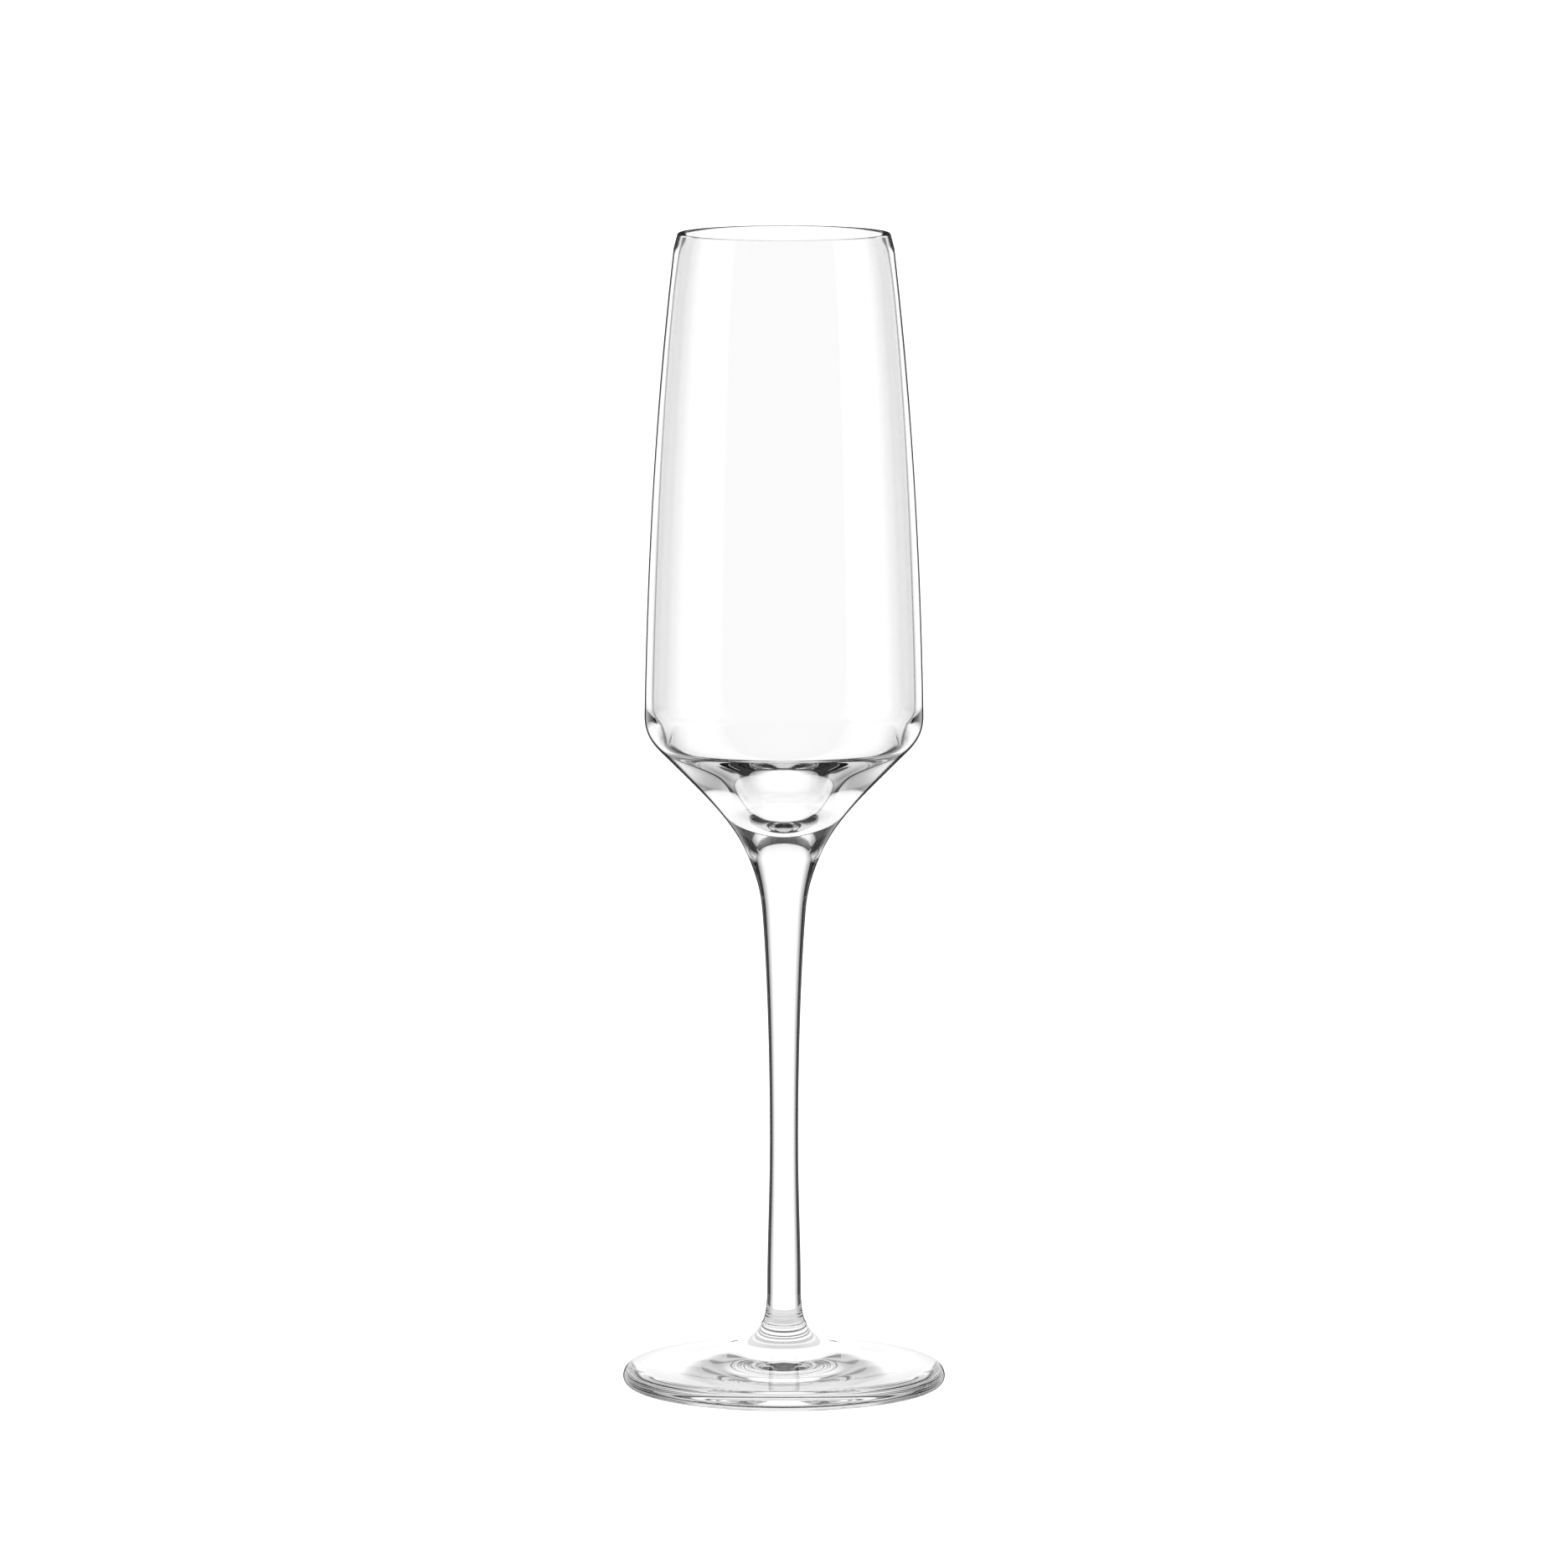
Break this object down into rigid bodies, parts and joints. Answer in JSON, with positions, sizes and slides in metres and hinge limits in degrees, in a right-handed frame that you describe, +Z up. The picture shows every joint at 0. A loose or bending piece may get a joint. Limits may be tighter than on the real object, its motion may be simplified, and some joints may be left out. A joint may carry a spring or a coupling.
{
  "type": "champagne flute",
  "caption": "Tall clear glass flute: a thin-walled bowl with an angular tapered base, a slender solid stem and a wide round-edged foot.",
  "frame": {"origin": "on the flute's axis, at the level of the flat ring under the foot that it stands on", "axes": "+Z up along the axis of revolution, from the foot to the rim; X and Y are free, because every piece is round about Z"},
  "size_m": [0.0642, 0.0642, 0.23],
  "materials": {
    "bowl_glass": "blown, fire-polished, clear and colourless",
    "stem_glass": "drawn, fire-polished, clear and colourless",
    "foot_glass": "pressed and fire-polished, clear and colourless"
  },
  "bodies": {
    "root": {"bowl": "bowl_glass", "stem": "stem_glass", "foot": "foot_glass"}
  },
  "joints": []
}
